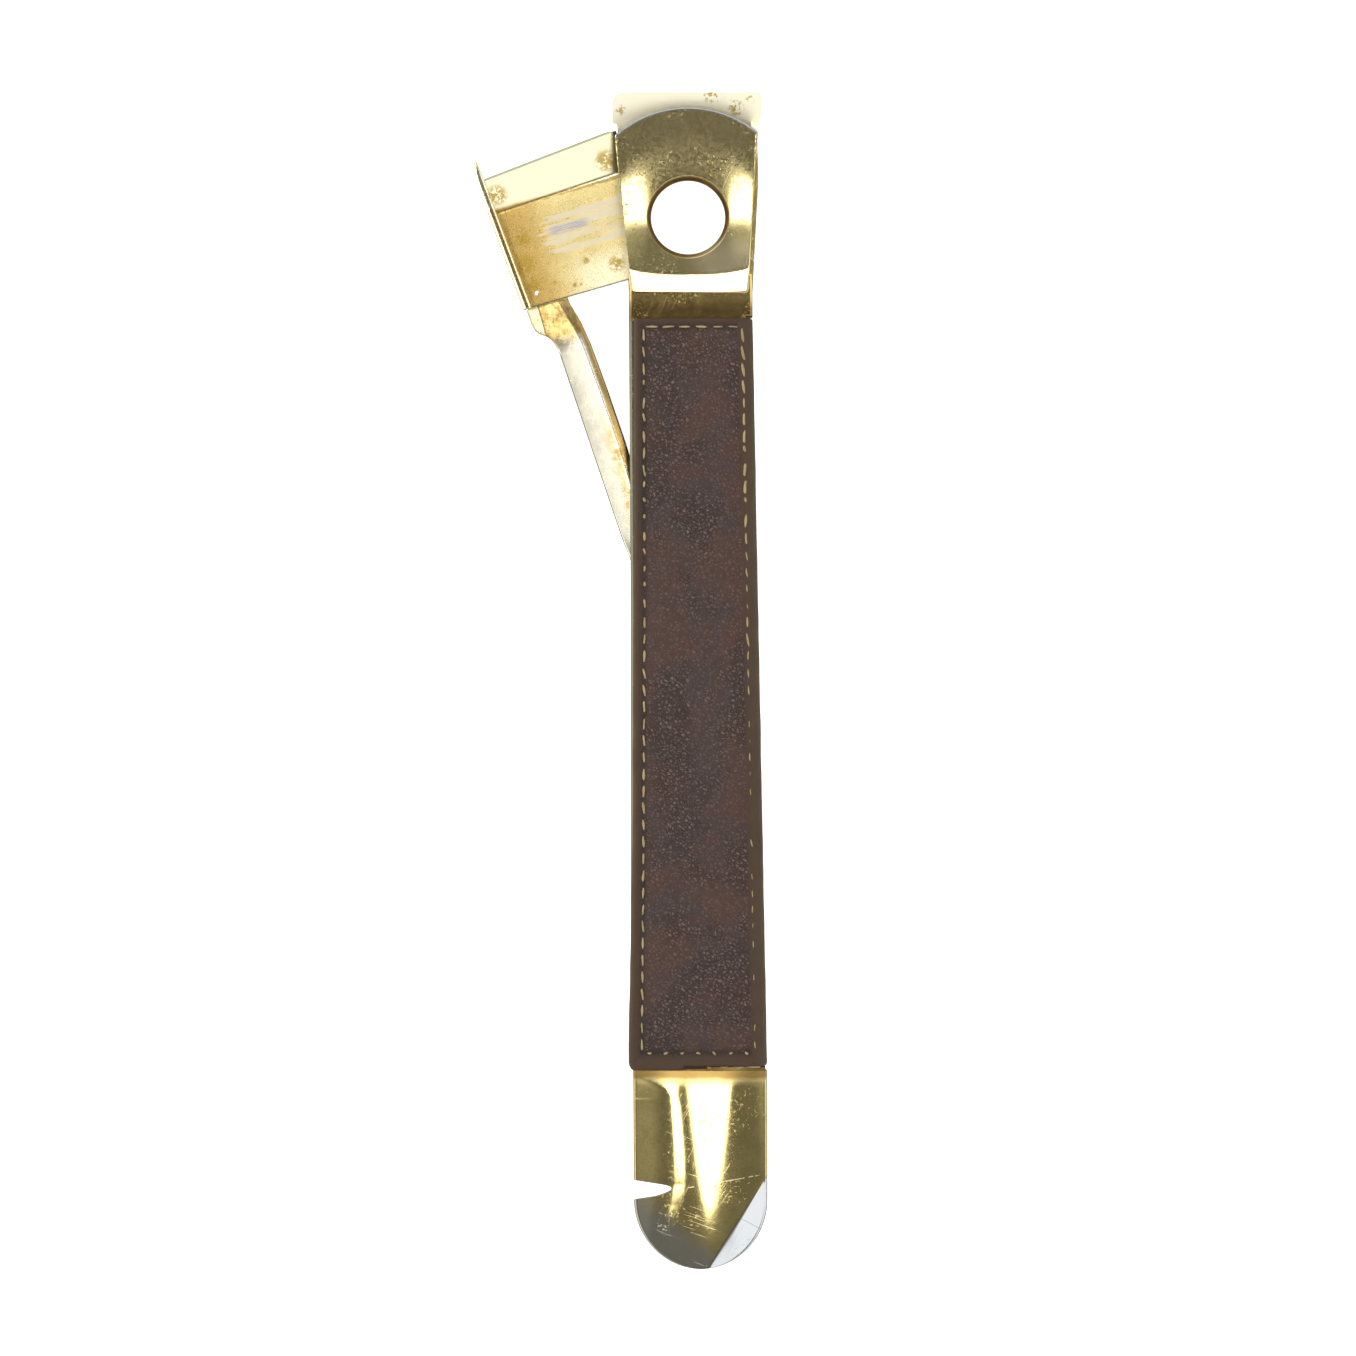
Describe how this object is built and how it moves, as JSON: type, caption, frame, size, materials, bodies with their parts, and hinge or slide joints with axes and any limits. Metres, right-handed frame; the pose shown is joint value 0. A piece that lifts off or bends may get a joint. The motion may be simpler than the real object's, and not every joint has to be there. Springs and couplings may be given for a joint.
{
  "type": "lever cigar cutter",
  "caption": "Hand-held guillotine cigar cutter: gilt head with a round hole, sprung side lever with a blade, leather-covered handle and a wedge end with a nail notch.",
  "frame": {"origin": "on the lever's pivot axis, in the plane of the sleeve's back face", "axes": "+Y along the handle towards the cutting head, +Z out of the front face, +X towards the closed side of the handle, away from the lever"},
  "size_m": [0.0413, 0.165, 0.0099],
  "materials": {
    "frame_gilt": "gold plated, polished, worn",
    "head_gilt": "gold plated, mirror polished, fine tarnish specks",
    "cap_gilt": "gold plated, mirror polished, fine scratches",
    "lever_gilt": "gold plated, polished",
    "blade_gilt": "gold plated steel, worn to bare steel along the cut",
    "plain_steel": "plain",
    "spring_steel": "blued",
    "brown_leather": "fine grain, slight sheen",
    "thread": "waxed thread"
  },
  "bodies": {
    "handle": {"back_frame": "frame_gilt", "front_frame": "frame_gilt", "head_plate": "head_gilt", "end_cap": "cap_gilt", "pivot_pin": "plain_steel", "pivot_washer_back": "plain_steel", "pivot_washer_front": "plain_steel", "leaf_spring": "spring_steel", "spring_rivet_upper": "plain_steel", "spring_rivet_lower": "plain_steel", "cap_pin_left": "plain_steel", "cap_pin_right": "plain_steel", "leather_sleeve": "brown_leather", "front_stitching": "thread", "back_stitching": "thread", "edge_thread": "thread"},
    "lever": {"lever_arm": "lever_gilt", "blade": "blade_gilt", "blade_rivet_upper": "plain_steel", "blade_rivet_lower": "plain_steel"}
  },
  "joints": [
    {"name": "lever_close", "type": "hinge", "parent": "handle", "child": "lever", "pos_m": [0, 0, 0.004], "axis": [0, 0, -1], "range_deg": [0, 16], "stiffness_Nm_per_rad": 0.3, "deforming": ["leaf_spring"]}
  ]
}
